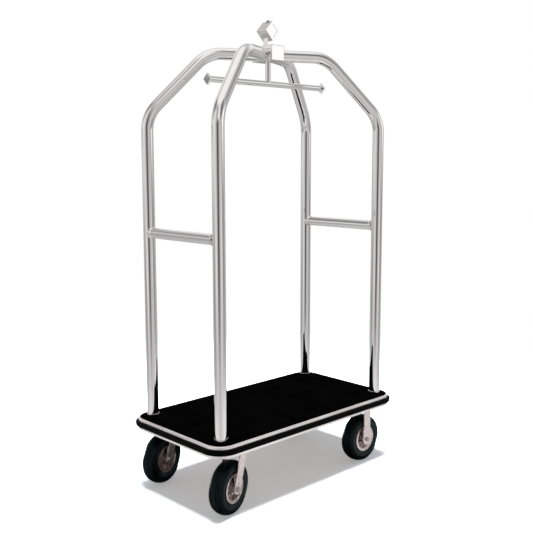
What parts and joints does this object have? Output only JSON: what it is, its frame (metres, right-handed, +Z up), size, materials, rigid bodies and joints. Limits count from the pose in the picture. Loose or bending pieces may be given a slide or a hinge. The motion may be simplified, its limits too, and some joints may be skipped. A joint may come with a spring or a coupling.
{
  "type": "hotel luggage cart",
  "caption": "Hotel luggage cart: carpeted deck with rubber bumper on pneumatic casters, under crossed bright tube hoops that carry a garment bar.",
  "frame": {"origin": "on the floor, under the middle of the deck", "axes": "+Z up; +X along the cart from the swivel casters to the rigid ones; -Y towards the front long side"},
  "size_m": [1.136, 0.62, 2.0269],
  "materials": {
    "tube_steel": "mirror-polished stainless steel",
    "edge_steel": "satin stainless steel",
    "caster_steel": "bright zinc plated",
    "rim_steel": "bright plated",
    "frame_steel": "black painted",
    "fastener_steel": "zinc plated",
    "carpet": "black cut pile",
    "plywood": "plain",
    "bumper_rubber": "satin",
    "tyre_rubber": "matt"
  },
  "bodies": {
    "cart": {"edge_frame": "edge_steel", "edge_bumper": "bumper_rubber", "deck_carpet": "carpet", "deck_board": "plywood", "deck_screws": "fastener_steel", "corner_plates": "frame_steel", "post_collars": "tube_steel", "post_plugs": "frame_steel", "post_bolts": "fastener_steel", "rail_saddles": "tube_steel", "caster_bolts": "fastener_steel", "hub_block": "tube_steel", "finial_neck": "tube_steel", "finial_cube": "tube_steel", "finial_nut": "fastener_steel", "tie_rod": "fastener_steel", "hanger_drop_tube": "tube_steel", "hanger_bar": "tube_steel", "caster_beam_left": "frame_steel", "stringer_left": "frame_steel", "end_rail_left": "tube_steel", "hanger_cap_left": "tube_steel", "caster_beam_right": "frame_steel", "stringer_right": "frame_steel", "end_rail_right": "tube_steel", "hanger_cap_right": "tube_steel", "upright_front_left": "tube_steel", "front_left_top_plate": "caster_steel", "front_left_king_pin": "fastener_steel", "upright_front_right": "tube_steel", "front_right_fork": "caster_steel", "front_right_sleeve": "fastener_steel", "front_right_axle": "fastener_steel", "upright_back_left": "tube_steel", "back_left_top_plate": "caster_steel", "back_left_king_pin": "fastener_steel", "upright_back_right": "tube_steel", "back_right_fork": "caster_steel", "back_right_sleeve": "fastener_steel", "back_right_axle": "fastener_steel"},
    "front_left_swivel": {"front_left_fork": "caster_steel", "front_left_ball_cage": "fastener_steel", "front_left_sleeve": "fastener_steel", "front_left_axle": "fastener_steel"},
    "front_left_wheel": {"front_left_rim": "rim_steel", "front_left_tyre": "tyre_rubber", "front_left_bearings": "fastener_steel"},
    "front_right_wheel": {"front_right_rim": "rim_steel", "front_right_tyre": "tyre_rubber", "front_right_bearings": "fastener_steel"},
    "back_left_swivel": {"back_left_fork": "caster_steel", "back_left_ball_cage": "fastener_steel", "back_left_sleeve": "fastener_steel", "back_left_axle": "fastener_steel"},
    "back_left_wheel": {"back_left_rim": "rim_steel", "back_left_tyre": "tyre_rubber", "back_left_bearings": "fastener_steel"},
    "back_right_wheel": {"back_right_rim": "rim_steel", "back_right_tyre": "tyre_rubber", "back_right_bearings": "fastener_steel"}
  },
  "joints": [
    {"name": "front_left_swivel_turn", "type": "hinge", "parent": "cart", "child": "front_left_swivel", "pos_m": [-0.408, -0.2265, 0.25], "axis": [0, 0, 1], "continuous": true},
    {"name": "front_left_wheel_spin", "type": "hinge", "parent": "front_left_swivel", "child": "front_left_wheel", "pos_m": [-0.45436, -0.23892, 0.111], "axis": [-0.2588, 0.9659, 0], "continuous": true},
    {"name": "front_right_wheel_spin", "type": "hinge", "parent": "cart", "child": "front_right_wheel", "pos_m": [0.389, -0.2265, 0.111], "axis": [0, 1, 0], "continuous": true},
    {"name": "back_left_swivel_turn", "type": "hinge", "parent": "cart", "child": "back_left_swivel", "pos_m": [-0.408, 0.2265, 0.25], "axis": [0, 0, 1], "continuous": true},
    {"name": "back_left_wheel_spin", "type": "hinge", "parent": "back_left_swivel", "child": "back_left_wheel", "pos_m": [-0.45436, 0.21408, 0.111], "axis": [-0.2588, 0.9659, 0], "continuous": true},
    {"name": "back_right_wheel_spin", "type": "hinge", "parent": "cart", "child": "back_right_wheel", "pos_m": [0.389, 0.2265, 0.111], "axis": [0, 1, 0], "continuous": true}
  ]
}
